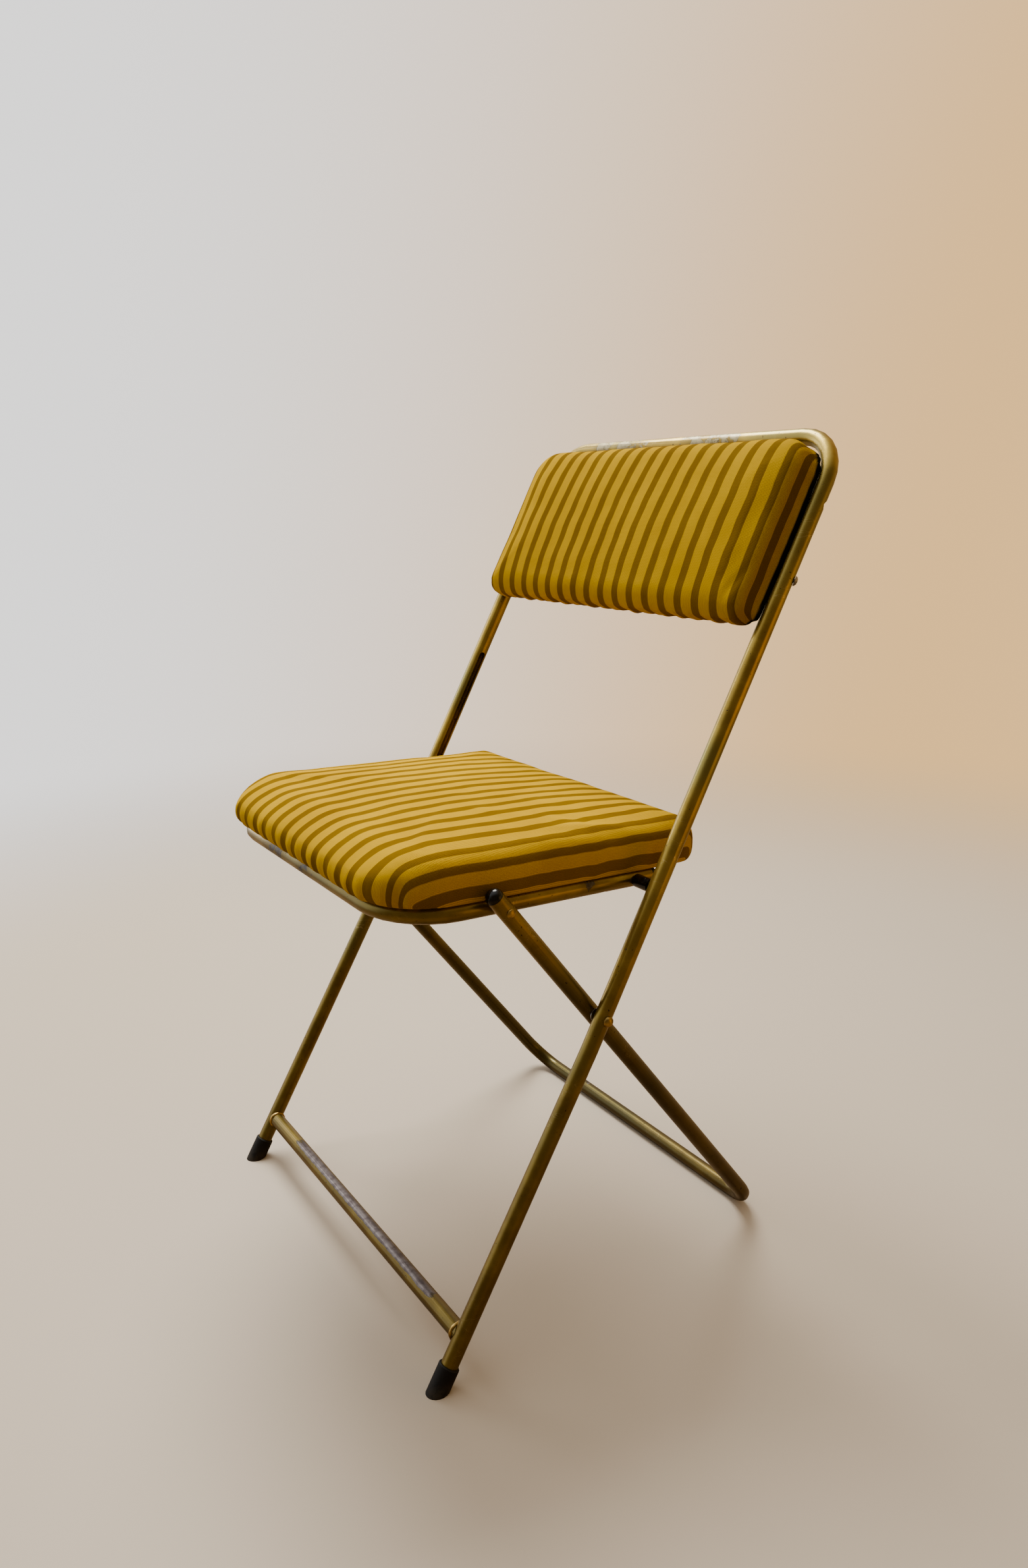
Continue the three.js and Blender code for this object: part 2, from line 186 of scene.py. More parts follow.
def gold_paint(name, chipped=(), rubbed=None, painted_light=(1.0, 0.6), bare_tones=BARE_STEEL):
    """Aged metallic paint: mottled, pitted and scratched, chipped to the metal at some spots.

    Its colour carries painted light and shade: it is scaled by one factor high up and by another near the floor.
    """
    g = Graph(name)
    mottle = g.noise(28, 4, 0.6)
    cloud = g.noise(9, 2, 0.5, seed=4)
    grain = g.noise(1400, 2, 0.6)
    pits = g.ramp(g.noise(330, 2, 0.5, seed=7), 0.70, 0.74)
    line = g.noise(26, 3, 0.6, 0.6, stretch=(1, 1, 2.2), seed=2)
    hair = g.ramp(g.math("ABSOLUTE", g.math("SUBTRACT", line, 0.5)), 0.0035, 0.0005)
    scratch = g.math("MULTIPLY", hair, g.ramp(g.noise(13, 2, seed=9), 0.5, 0.62))

    flakes = g.noise(95, 5, 0.62, 0.4, seed=3)
    handled = g.near(chipped)
    worn = g.math("MULTIPLY_ADD", handled, 0.26, flakes)
    edge = g.ramp(worn, *CHIP_EDGE)
    bare = g.ramp(worn, *CHIP_BARE)
    if rubbed is not None:
        rub = g.math("MULTIPLY_ADD", flakes, 0.5, rubbed(g))
        edge = g.math("MAXIMUM", edge, g.ramp(rub, *RUB_EDGE))
        bare = g.math("MAXIMUM", bare, g.ramp(rub, *RUB_BARE))

    paint = g.mix(g.ramp(mottle, 0.35, 0.68), *GOLD)
    paint = g.mix(g.ramp(cloud, 0.42, 0.72), paint, OLIVE_PATINA)
    paint = g.mix(pits, paint, PIT_BROWN)
    paint = g.mix(scratch, paint, SCRATCHED_GOLD)
    metal = g.mix(g.ramp(g.noise(160, 3, seed=6), 0.35, 0.65), *bare_tones)
    # painted light and shade: the paint's colour is scaled by one factor near the floor and by another high up
    painted_light_and_wear = g.ramp(g.axis(2), *PAINTED_LIGHT_HEIGHTS, painted_light[1], painted_light[0])
    # and darker at the handled, chipped spots, as wear
    painted_light_and_wear = g.math("MULTIPLY", painted_light_and_wear, g.math("MULTIPLY_ADD", handled, -0.3, 1.0))
    color = g.mix(bare, g.mix(edge, g.tint(paint, painted_light_and_wear), UNDERCOAT), metal)

    roughness = g.math("MULTIPLY_ADD", mottle, 0.20, 0.25)
    roughness = g.math("MULTIPLY_ADD", handled, 0.2, roughness)
    roughness = g.math("MULTIPLY_ADD", pits, 0.3, roughness)
    height = g.math("MULTIPLY_ADD", edge, -0.5, g.math("MULTIPLY", grain, 0.12))
    height = g.math("MULTIPLY_ADD", pits, -0.35, height)
    height = g.math("MULTIPLY_ADD", mottle, 0.9, height)
    return g.finish(
        Base_Color=color,
        Metallic=0.88,
        Roughness=roughness,
        Coat_Weight=0.3,
        Coat_Roughness=0.14,
        Normal=g.bump(height, 0.00022, 0.75),
    )


def rubbed_rung(g):
    """The rung's upper face, worn bare by shoes along most of its length."""
    low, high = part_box("front_rung")
    middle = (low.z + high.z) / 2
    top = g.ramp(g.axis(2), middle + 0.52 * TUBE_RADIUS, middle + 0.92 * TUBE_RADIUS)
    wander = g.math("MULTIPLY_ADD", g.noise(14, 2, seed=11), 0.3, -0.15)
    far_end = g.ramp(g.axis(0), low.x + 20 * MM, low.x + 110 * MM)
    near_end = g.ramp(g.axis(0), high.x - 30 * MM, high.x - 60 * MM)
    length = g.math("MULTIPLY", g.math("MULTIPLY", far_end, near_end), 0.67)
    return g.math("MULTIPLY_ADD", top, length, wander)


def bright_metal(name, light, dark, roughness, stain):
    g = Graph(name)
    patches = g.noise(210, 4, 0.6)
    tarnish = g.ramp(g.noise(120, 3, seed=5), 0.45, 0.70)
    color = g.mix(g.ramp(patches, 0.35, 0.65), dark, light)
    color = g.mix(g.math("MULTIPLY", tarnish, stain), color, tuple(0.25 * c for c in dark))
    return g.finish(
        Base_Color=color,
        Metallic=1.0,
        Roughness=g.math("MULTIPLY_ADD", patches, 0.25, roughness - 0.12),
        Normal=g.bump(g.noise(900, 2), 0.00008, 0.6),
    )


def black_plastic(name):
    g = Graph(name)
    scuffs = g.ramp(g.noise(170, 4, 0.7, 0.8), 0.55, 0.72)
    return g.finish(
        Base_Color=g.mix(scuffs, (0.004, 0.004, 0.004), (0.020, 0.019, 0.017)),
        Roughness=g.math("MULTIPLY_ADD", scuffs, 0.3, 0.16),
        Specular_IOR_Level=0.35,
        Normal=g.bump(g.noise(420, 3), 0.00012, 0.5),
    )


def rubber(name):
    g = Graph(name)
    low_down = g.ramp(g.axis(2), 16 * MM, 1 * MM)
    dust = g.math("MULTIPLY", low_down, g.ramp(g.noise(110, 4, 0.7), 0.35, 0.62))
    return g.finish(
        Base_Color=g.mix(dust, (0.004, 0.0036, 0.0033), (0.040, 0.033, 0.024)),
        Roughness=g.math("MULTIPLY_ADD", dust, 0.25, 0.62),
        Specular_IOR_Level=0.3,
        Normal=g.bump(g.noise(650, 3, 0.6), 0.00020, 0.8),
    )


def plywood(name):
    g = Graph(name)
    fibre = g.noise(60, 6, 0.62, 0.3, stretch=(0.10, 1.4, 1.4))
    figure = g.noise(7, 3, 0.5, 1.6, stretch=(0.22, 1, 1), seed=1)
    pores = g.ramp(g.noise(420, 2, 0.5, stretch=(0.06, 1, 1), seed=8), 0.60, 0.70)
    rings = g.math("FRACT", g.math("MULTIPLY", figure, 7))
    color = g.mix(g.ramp(rings, 0.0, 0.9), (0.44, 0.29, 0.15), (0.56, 0.40, 0.23))
    color = g.mix(g.ramp(fibre, 0.40, 0.66), color, (0.36, 0.22, 0.105))
    color = g.mix(g.math("MULTIPLY", pores, 0.7), color, (0.17, 0.095, 0.045))
    return g.finish(
        Base_Color=color,
        Roughness=g.math("MULTIPLY_ADD", fibre, 0.25, 0.52),
        Normal=g.bump(g.math("SUBTRACT", fibre, pores), 0.00022, 0.7),
    )


STRIPE_PITCH = 23.5 * MM
DARK_SHARE = 0.42
RIB_PITCH = 1.4 * MM
THREAD_PITCH = 0.85 * MM
LIGHT_DYE = ((0.64, 0.375, 0.0), (0.72, 0.435, 0.0))
DARK_DYE = ((0.225, 0.118, 0.0), (0.265, 0.145, 0.0))
PAINTED_SHADE_BLACK = (0.006, 0.005, 0.004)


def striped_fabric(name, depth):
    """A ribbed weave in stripes. The mesh carries how far across and along the cloth it is.

    The depth is painted light and shade: it scales the whole cloth's brightness, so that one copy is lighter and
    another darker.
    """
    g = Graph(name)
    across = g.attribute("cloth_across")
    along = g.attribute("cloth_along")
    wobble = g.math("MULTIPLY_ADD", g.noise(170, 3, 0.6), 0.6 * MM, -0.3 * MM)
    phase = g.math("FRACT", g.math("MULTIPLY", g.math("ADD", across, wobble), 1 / STRIPE_PITCH))
    from_middle = g.math("ABSOLUTE", g.math("SUBTRACT", phase, 0.5))
    blur = 0.018
    dark = g.ramp(from_middle, DARK_SHARE / 2 + blur, DARK_SHARE / 2 - blur)

    ribs = g.math("SINE", g.math("MULTIPLY", across, 2 * math.pi / RIB_PITCH))
    threads = g.math("SINE", g.math("MULTIPLY", along, 2 * math.pi / THREAD_PITCH))
    yarn = g.noise(1500, 2, 0.7)
    fade = g.ramp(g.noise(11, 3, 0.6, seed=3), 0.35, 0.7)
    color = g.mix(dark, g.mix(fade, *LIGHT_DYE), g.mix(fade, *DARK_DYE))
    pinstripe = g.math("MULTIPLY", g.math("SUBTRACT", 1.0, dark), g.ramp(from_middle, 0.34, 0.22))
    ribbed = g.math("MULTIPLY", ribs, g.math("MULTIPLY_ADD", pinstripe, 0.24, 0.05))
    shade = g.math("ADD", ribbed, 0.88)
    shade = g.math("MULTIPLY_ADD", yarn, 0.24, shade)
    shade = g.math("MULTIPLY_ADD", threads, 0.03, shade)
    # painted light and shade: the whole copy is scaled by the depth
    shade = g.math("MULTIPLY", shade, depth)
    height = g.math("MULTIPLY_ADD", ribs, 0.5, g.math("MULTIPLY", threads, 0.22))
    height = g.math("MULTIPLY_ADD", yarn, 0.9, height)
    # painted shade: the cloth just above the board's edge is made black, for the shaded crevice between pad and
    # tube
    color = g.mix(g.attribute("cloth_painted_shade"), g.tint(color, shade), PAINTED_SHADE_BLACK)
    return g.finish(
        Base_Color=color,
        Roughness=0.88,
        Specular_IOR_Level=0.02,
        Sheen_Weight=0.02,
        Sheen_Roughness=0.4,
        Sheen_Tint=(1.0, 0.70, 0.20, 1.0),
        Normal=g.bump(height, 0.00028, 0.65),
    )


def dress(node, material):
    """Gives a CAD node a material and smooth round faces."""
    piece = frame["nodes"][node]
    piece.data.materials.clear()
    piece.data.materials.append(material)
    piece.data.polygons.foreach_set("use_smooth", [True] * len(piece.data.polygons))
    weld = piece.modifiers.new("weld", "WELD")
    weld.merge_threshold = 0.005 * MM
    split = piece.modifiers.new("hard_edges", "EDGE_SPLIT")
    split.split_angle = math.radians(38)


SLOT_FINISHES = {
    "brass": bright_metal("worn_brass", (0.62, 0.42, 0.13), (0.40, 0.26, 0.07), 0.34, 0.7),
    "steel": bright_metal("dulled_steel", (0.46, 0.45, 0.43), (0.28, 0.27, 0.26), 0.42, 0.5),
    "black_plastic": black_plastic("black_moulding"),
    "rubber": rubber("black_rubber"),
    "plywood": plywood("bare_plywood"),
}

# lit and shaded copies of one cloth: the seat's a little lighter as painted light, the backrest's darker as
# painted shade
seat_fabric = striped_fabric("striped_fabric_seat_painted_light", 1.02)
back_fabric = striped_fabric("striped_fabric_back_painted_shade", 0.76)

# ---- upholstery ----

HEM = 0.9 * MM  # how thick the cloth turned under the board is
HEM_WIDTH = 24 * MM
HEM_STEPS = (12 * MM, 4 * MM)  # how far in from the board's edge the hem's first rings lie
WIDEST = 15 * MM  # the height above the hem at which a side wall is widest
WALL_STEPS = 5
CROWN_STEPS = 14
TOP_SHARES = (0.25, 0.5, 0.75, 0.92)  # of the way in from the crown to the middle
STAPLE_INSET = 14 * MM
STAPLE_SPACING = 38 * MM

VOXEL = 4.5 * MM
PRESSURE = 4
SWELLING_FRAMES = 20
EVENING_PASSES = 30
HELD_HEIGHT = 3 * MM  # the cloth below this is fast to the board


class Pad:
    """A padded board in its flat frame: a rounded outline, and a section that varies round it.

    The section's sizes come in threes: at the sides, at the low end and at the high end.
    """

    def __init__(self, cushion, place, corners, tuck, bulge, crown, power, top, swell, painted_shade_band=-1):
        low, high = flat_box(cushion, place)
        self.place = place
        self.base = low[2] - HEM
        self.half = (high[0] - low[0]) / 2
        self.low = low[1]
        self.high = high[1]
        self.corners = corners  # radii at the low end and the high end
        self.tuck = tuck  # how far in the cloth meets the board
        self.bulge = bulge  # how far out the side wall swells
        self.crown = crown  # how far in from the edge the top levels out
        self.power = power  # roundness of that edge: 2 is an ellipse, more is squarer
        self.top = low[2] + top
        self.swell = swell  # further rise to the middle
        self.painted_shade_band = painted_shade_band  # height of the band of black painted shade round the board's edge, or below 0 for none
        self.rings = {}

    def outline(self, inset):
        """The outline drawn in by an inset, with the same number of points for any inset."""
        key = round(inset * 1e7)
        if key not in self.rings:
            self.rings[key] = self.draw_outline(inset)
        return self.rings[key]

    def draw_outline(self, inset, per_corner=12, per_side=30):
        middle = (self.low + self.high) / 2
        reach = (self.high - self.low) / 2
        points = []
        for index, (sx, sy, end) in enumerate(((1, -1, 0), (1, 1, 1), (-1, 1, 1), (-1, -1, 0))):
            radius = self.corners[end]
            keep = max(radius, inset)
            centre = Vector((sx * (self.half - keep), middle + sy * (reach - keep)))
            for i in range(per_corner + 1):
                angle = math.pi / 2 * (index - 1 + i / per_corner)
                normal = Vector((math.cos(angle), math.sin(angle)))
                points.append((centre + normal * max(radius - inset, 0), normal))
        ring = []
        for i, (point, normal) in enumerate(points):
            ring.append((point, normal))
            if i % (per_corner + 1) == per_corner:
                onward = points[(i + 1) % len(points)][0]
                ring += [(point.lerp(onward, j / per_side), normal) for j in range(1, per_side)]
        return ring

    def section(self, normal):
        """[inset, height] pairs from under the edge, round the side and up to the top's level."""
        share = (normal.x**2, max(-normal.y, 0) ** 2, max(normal.y, 0) ** 2)
        tuck, bulge, crown, power = (
            sum(s * v for s, v in zip(share, values))
            for values in (self.tuck, self.bulge, self.crown, self.power)
        )
        widest = self.base + WIDEST
        pairs = [(tuck + hem, self.base) for hem in HEM_STEPS]
        for i in range(WALL_STEPS + 1):
            angle = math.pi / 2 * (1 - i / WALL_STEPS)
            inset = tuck - (tuck + bulge) * math.cos(angle)
            pairs.append((inset, widest - (widest - self.base) * math.sin(angle)))
        for i in range(1, CROWN_STEPS + 1):
            angle = math.pi / 2 * i / CROWN_STEPS
            out = math.cos(angle) ** (2 / power)
            up = math.sin(angle) ** (2 / power)
            pairs.append((crown - (crown + bulge) * out, widest + (self.top - widest) * up))
        return pairs

    def shell(self, name):
        """The closed, unstuffed shape."""
        sections = [self.section(normal) for _, normal in self.outline(0)]
        deepest = min(self.half, (self.high - self.low) / 2) - 1 * MM
        rings = []
        for level in range(len(sections[0])):
            ring = []
            for index, section in enumerate(sections):
                inset, height = section[level]
                ring.append((*self.outline(inset)[index][0], height))
            rings.append(ring)
        for share in TOP_SHARES:
            height = self.top + self.swell * share * (2 - share)
            ring = []
            for index, section in enumerate(sections):
                crown = section[-1][0]
                inset = crown + (deepest - crown) * share
                ring.append((*self.outline(inset)[index][0], height))
            rings.append(ring)
        size = len(sections)
        faces = [tuple(reversed(range(size)))]
        for level in range(len(rings) - 1):
            for i in range(size):
                a = level * size + i
                b = level * size + (i + 1) % size
                faces.append((a, b, b + size, a + size))
        last = (len(rings) - 1) * size
        faces.append(tuple(range(last, last + size)))
        mesh = bpy.data.meshes.new(name)
        mesh.from_pydata([point for ring in rings for point in ring], [], faces)
        return mesh


def as_object(name, data):
    piece = bpy.data.objects.new(name, data)
    bpy.context.scene.collection.objects.link(piece)
    return piece


def baked(piece):
    """Applies the piece's modifiers to its mesh."""
    graph = bpy.context.evaluated_depsgraph_get()
    mesh = bpy.data.meshes.new_from_object(piece.evaluated_get(graph))
    piece.modifiers.clear()
    piece.data = mesh


def points_of(mesh):
    flat = np.empty(3 * len(mesh.vertices))
    mesh.vertices.foreach_get("co", flat)
    return flat.reshape(-1, 3)


def normals_of(mesh):
    flat = np.empty(3 * len(mesh.vertices))
    mesh.vertex_normals.foreach_get("vector", flat)
    return flat.reshape(-1, 3)


def set_points(mesh, points):
    mesh.vertices.foreach_set("co", np.ascontiguousarray(points).ravel())
    mesh.update()


def evened(mesh, values, passes):
    """Averages the values with those of the neighbouring points, over and over."""
    ends = np.empty(2 * len(mesh.edges), dtype=np.int64)
    mesh.edges.foreach_get("vertices", ends)
    a, b = ends.reshape(-1, 2).T
    neighbours = np.bincount(ends, minlength=len(values))[:, None]
    for _ in range(passes):
        total = np.zeros_like(values)
        np.add.at(total, a, values[b])
        np.add.at(total, b, values[a])
        values = 0.4 * values + 0.6 * total / neighbours
    return values


def stuff(piece, pad, cap):
    """Swells the shell as cloth held under the board, and lets no point move beyond the cap."""
    remesh = piece.modifiers.new("remesh", "REMESH")
    remesh.mode = "VOXEL"
    remesh.voxel_size = VOXEL
    baked(piece)
    rest = points_of(piece.data)
    held = piece.vertex_groups.new(name="held")
    held.add(np.nonzero(rest[:, 2] < pad.base + HELD_HEIGHT)[0].tolist(), 1.0, "REPLACE")
    cloth = piece.modifiers.new("cloth", "CLOTH")
    cloth.settings.quality = 5
    cloth.settings.mass = 0.3
    cloth.settings.use_pressure = True
    cloth.settings.uniform_pressure_force = PRESSURE
    cloth.settings.effector_weights.gravity = 0
    cloth.settings.vertex_group_mass = "held"
    for moment in range(1, SWELLING_FRAMES + 1):
        bpy.context.scene.frame_set(moment)
    baked(piece)
    bpy.context.scene.frame_set(1)
    moved = evened(piece.data, points_of(piece.data) - rest, EVENING_PASSES)
    length = np.linalg.norm(moved, axis=1, keepdims=True)
    moved *= cap * np.tanh(length / cap) / np.maximum(length, 1e-9)
    set_points(piece.data, rest + moved)
    smooth = piece.modifiers.new("smooth", "SUBSURF")
    smooth.levels = smooth.render_levels = 1
    baked(piece)


def waves(distance, pitch, seed):
    """Uneven ripples of about one pitch, from -1 to 1."""
    rng = np.random.default_rng(seed)
    total = np.zeros_like(distance)
    for ratio, share in ((1.0, 0.5), (1.37, 0.3), (0.61, 0.3), (2.1, 0.15)):
        total += share * np.sin(2 * math.pi * distance * ratio / pitch + rng.uniform(0, 2 * math.pi))
    return total


def step(value, low, high):
    """A smooth step from 0 at low to 1 at high."""
    share = np.clip((value - low) / (high - low), 0, 1)
    return share * share * (3 - 2 * share)


def by_the_edge(pad, points):
    """For each point: how far round the nearest edge is, that edge's normal, and how far off."""
    outline = np.array([tuple(point) for point, _ in pad.outline(0)])
    normals = np.array([tuple(normal) for _, normal in pad.outline(0)])
    steps = np.linalg.norm(np.roll(outline, -1, axis=0) - outline, axis=1)
    lengths = np.concatenate([[0], np.cumsum(steps)[:-1]])
    gaps = ((points[:, None, :2] - outline[None]) ** 2).sum(2)
    nearest = gaps.argmin(1)
    normal = normals[nearest]
    tangent = np.stack([-normal[:, 1], normal[:, 0]], 1)
    distance = lengths[nearest] + ((points[:, :2] - outline[nearest]) * tangent).sum(1)
    return distance, normal, np.sqrt(gaps.min(1))


def gather(piece, pad, depth, seed):
    """Puckers the cloth where it is drawn in under the board, most at the low end and corners."""
    mesh = piece.data
    points = points_of(mesh)
    distance, normal, inside = by_the_edge(pad, points)
    height = points[:, 2] - pad.base
    low_end = step(-normal[:, 1], 0.1, 0.9)
    corner = 4 * (normal[:, 0] * normal[:, 1]) ** 2
    strength = depth * (0.22 + 0.78 * np.maximum(low_end, corner))
    window = step(height, 30 * MM, 9 * MM) * step(inside, 30 * MM, 12 * MM)
    window *= step(height, -1 * MM, 4 * MM)
    fold = waves(distance, STRIPE_PITCH, seed) - 0.25
    points[:, :2] += normal * (strength * window * fold)[:, None]
    points[:, 2] += 0.35 * strength * window * waves(distance, 1.7 * STRIPE_PITCH, seed + 1)
    set_points(mesh, points)


def crease(piece, folds):
    """Shallow drawn folds on the face, each (start, end, half width, height) in millimetres."""
    mesh = piece.data
    points = points_of(mesh)
    facing = step(normals_of(mesh)[:, 2], 0.2, 0.7)
    for start, end, width, height in folds:
        a = np.array(start) * MM
        b = np.array(end) * MM
        along = b - a
        share = np.clip(((points[:, :2] - a) @ along) / (along @ along), 0, 1)
        away = np.linalg.norm(points[:, :2] - a - share[:, None] * along, axis=1)
        taper = np.sin(math.pi * np.clip(share, 0.02, 0.98))
        points[:, 2] += height * MM * taper * facing * np.exp(-((away / (width * MM)) ** 2))
    set_points(mesh, points)


def settle(piece, depth, seed):
    """Slow unevenness of used foam."""
    mesh = piece.data
    points = points_of(mesh)
    normals = normals_of(mesh)
    offset = Vector((seed, 0, 0))
    broad = np.array([noise.noise(Vector(p) * 16 + offset) for p in points])
    fine = np.array([noise.noise(Vector(p) * 45 + offset) for p in points])
    lift = (broad + 0.4 * fine) * step(normals[:, 2], -0.2, 0.4)
    set_points(mesh, points + normals * (depth * lift)[:, None])


def lay_cloth(piece, pad, shift, drags):
    """Stores how far across and along the cloth each point is, wrapped round the sides.

    Each drag is (centre, radius, pull) in millimetres: there the stripes are pulled out of line.
    """
    mesh = piece.data
    points = points_of(mesh)
    _, normal, _ = by_the_edge(pad, points)
    x, y = points[:, 0], points[:, 1]
    from_side = np.maximum(pad.half - np.abs(x), 0) + 2 * MM
    from_end = np.maximum(np.minimum(y - pad.low, pad.high - y), 0) + 2 * MM
    sideways = step(from_end**2 / (from_side**2 + from_end**2), 0.0, 1.0)
    drop = np.maximum(pad.top - points[:, 2], 0)
    across = np.sign(x) * (np.abs(x) + drop * sideways) + shift
    along = y + drop * normal[:, 1] * (1 - sideways)
    pull = np.full(len(points), 0.55 * MM)
    for centre, radius, amount in drags:
        away = np.linalg.norm(points[:, :2] - np.array(centre) * MM, axis=1)
        pull += amount * MM * np.exp(-((away / (radius * MM)) ** 2))
    wander = [noise.noise(Vector((p[0] * 12, p[1] * 42, 7 * shift / MM))) for p in points]
    across += pull * np.array(wander) * 1.6
    # painted shade: marks the band of cloth just above the board that is painted black
    painted_shade_band = step(points[:, 2] - pad.base, pad.painted_shade_band + 0.4 * MM, pad.painted_shade_band - 0.4 * MM)
    for name, values in (("cloth_across", across), ("cloth_along", along), ("cloth_painted_shade", painted_shade_band)):
        attribute = mesh.attributes.new(name, "FLOAT", "POINT")
        attribute.data.foreach_set("value", values.astype(np.float32))


def uneven_hem(place):
    """How far the hem's cut edge strays from a straight line."""
    return 2.5 * MM * noise.noise(Vector((*place, 0)) * 22)


def open_back(piece, pad):
    """Cuts the cloth away under the board, inside a hem with an uneven edge."""
    mesh = piece.data
    middle = np.array((0, (pad.low + pad.high) / 2))
    reach = np.array((pad.half, (pad.high - pad.low) / 2))
    doomed = []
    for face in mesh.polygons:
        place = np.array(face.center[:2])
        edge = (reach - np.abs(place - middle)).min()
        doomed.append(face.center[2] < pad.base + 1 * MM and edge > HEM_WIDTH + uneven_hem(place))
    cut = bmesh.new()
    cut.from_mesh(mesh)
    cut.faces.ensure_lookup_table()
    bmesh.ops.delete(cut, geom=[f for f in cut.faces if doomed[f.index]], context="FACES")
    for vertex in cut.verts:
        if vertex.is_boundary:
            place = np.array(vertex.co[:2])
            width = HEM_WIDTH + uneven_hem(place)
            axis = (reach - np.abs(place - middle)).argmin()
            onward = math.copysign(reach[axis] - width, place[axis] - middle[axis])
            vertex.co[axis] = middle[axis] + onward
    cut.to_mesh(mesh)
    cut.free()


def upholster(name, cad_node, body, pad, fabric, cap, depth, seed, shift, folds, drags):
    """Makes one stuffed, covered pad in place of a CAD cushion."""
    piece = as_object(name, pad.shell(name))
    stuff(piece, pad, cap)
    settle(piece, 1.0 * MM, seed)
    gather(piece, pad, depth, seed)
    crease(piece, folds)
    lay_cloth(piece, pad, shift, drags)
    open_back(piece, pad)
    piece.data.polygons.foreach_set("use_smooth", [True] * len(piece.data.polygons))
    piece.data.transform(pad.place)
    piece.data.materials.clear()
    piece.data.materials.append(fabric)
    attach(piece, body)
    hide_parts(cad_node)


def staple_hem(name, body, pad):
    """Staples through the hem, into the back of the board."""
    wire = 0.35 * MM
    half = 4.5 * MM
    vertices = []
    faces = []
    ring = pad.outline(STAPLE_INSET)
    travelled = 0.0
    for index in range(len(ring)):
        point, normal = ring[index]
        travelled += (ring[(index + 1) % len(ring)][0] - point).length
        if travelled < STAPLE_SPACING:
            continue
        travelled = 0.0
        skew = 0.5 * noise.noise(Vector((*point, 0)) * 60)
        along = Vector((-normal.y, normal.x)).lerp(normal, skew).normalized()
        side = Vector((-along.y, along.x))
        start = len(vertices)
        for a in (-half, half):
            for b, c in ((-wire, 0.4 * MM), (wire, 0.4 * MM), (wire, -wire), (-wire, -wire)):
                vertices.append((*(point + along * a + side * b), pad.base + c))
        near, far = range(start, start + 4), range(start + 4, start + 8)
        faces += [tuple(near), tuple(reversed(far))]
        faces += [(near[i - 1], far[i - 1], far[i], near[i]) for i in (1, 2, 3, 0)]
    mesh = bpy.data.meshes.new(name)
    mesh.from_pydata(vertices, [], faces)
    mesh.transform(pad.place)
    mesh.materials.append(SLOT_FINISHES["steel"])
    piece = as_object(name, mesh)
    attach(piece, body)


def weld_bead(name, place, body, side):
    """The brazed ring where the rung meets a leg."""
    mesh = bpy.data.meshes.new(name)
    around, over = 48, 10
    rise, spread = 1.5 * MM, 1.9 * MM
    vertices = []
    for i in range(around):
        angle = 2 * math.pi * i / around
        out = Vector((0, math.cos(angle), math.sin(angle)))
        lump = 1 + 0.35 * noise.noise(Vector((out.y, out.z, side)) * 2.2)
        for j in range(over):
            turn = 2 * math.pi * j / over
            radius = TUBE_RADIUS + rise * lump * math.cos(turn)
            vertices.append((spread * lump * math.sin(turn), radius * out.y, radius * out.z))
    faces = []
    for i in range(around):
        for j in range(over):
            a, b = i * over, (i + 1) % around * over
            k = (j + 1) % over
            faces.append((a + j, a + k, b + k, b + j))
    mesh.from_pydata(vertices, [], faces)
    mesh.transform(Matrix.Translation(place))
    mesh.polygons.foreach_set("use_smooth", [True] * len(mesh.polygons))
    mesh.materials.append(SLOT_FINISHES["brass"])
    piece = as_object(name, mesh)
    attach(piece, body)


seat_pad = Pad(
    "seat_cushion",
    SEAT_PLACE,
    corners=(60 * MM, 13 * MM),
    tuck=(3 * MM, 4.5 * MM, 2 * MM),
    bulge=(2 * MM, 6 * MM, 6 * MM),
    crown=(19 * MM, 54 * MM, 12 * MM),
    power=(2.3, 2.0, 2.5),
    top=42 * MM,
    swell=6 * MM,
)
SEAT_FOLDS = (
    ((150, 60), (176, 150), 7, 1.5),
    ((120, 95), (172, 122), 6, -1.2),
    ((60, 30), (120, 60), 9, 0.8),
    ((172, 20), (182, 120), 6, 1.0),
    ((-60, -60), (-20, 10), 12, 0.7),
)
SEAT_DRAGS = (((150, 120), 60, 1.8), ((90, 60), 50, 0.8))
upholster(
    "seat_upholstery", "seat_cushion", "seat", seat_pad, seat_fabric,
    cap=2 * MM, depth=1.2 * MM, seed=5, shift=4 * MM, folds=SEAT_FOLDS, drags=SEAT_DRAGS,
)
staple_hem("seat_staples", "seat", seat_pad)

back_pad = Pad(
    "backrest_cushion",
    BACK_PLACE,
    corners=(16 * MM, 36 * MM),
    tuck=(-3.5 * MM, 4 * MM, 1 * MM),
    bulge=(-4 * MM, 1 * MM, -1.5 * MM),
    crown=(18 * MM, 26 * MM, 24 * MM),
    power=(2.3, 2.1, 2.1),
    top=30.5 * MM,
    swell=4.5 * MM,
    # the backrest's lowest 5 mm of cloth is painted black as shade
    painted_shade_band=5 * MM,
)
BACK_FOLDS = (
    ((185, 384), (203, 430), 5, -1.4),
    ((-195, 380), (-170, 420), 7, 1.0),
    ((-40, 380), (-30, 425), 8, 0.7),
)
BACK_DRAGS = (((180, 400), 35, 0.7), ((-150, 540), 50, 0.6))
upholster(
    "backrest_upholstery", "backrest_cushion", "back_frame", back_pad, back_fabric,
    cap=2 * MM, depth=1.1 * MM, seed=8, shift=1 * MM, folds=BACK_FOLDS, drags=BACK_DRAGS,
)
staple_hem("backrest_staples", "back_frame", back_pad)

# ---- metal, plastic, rubber and wood ----

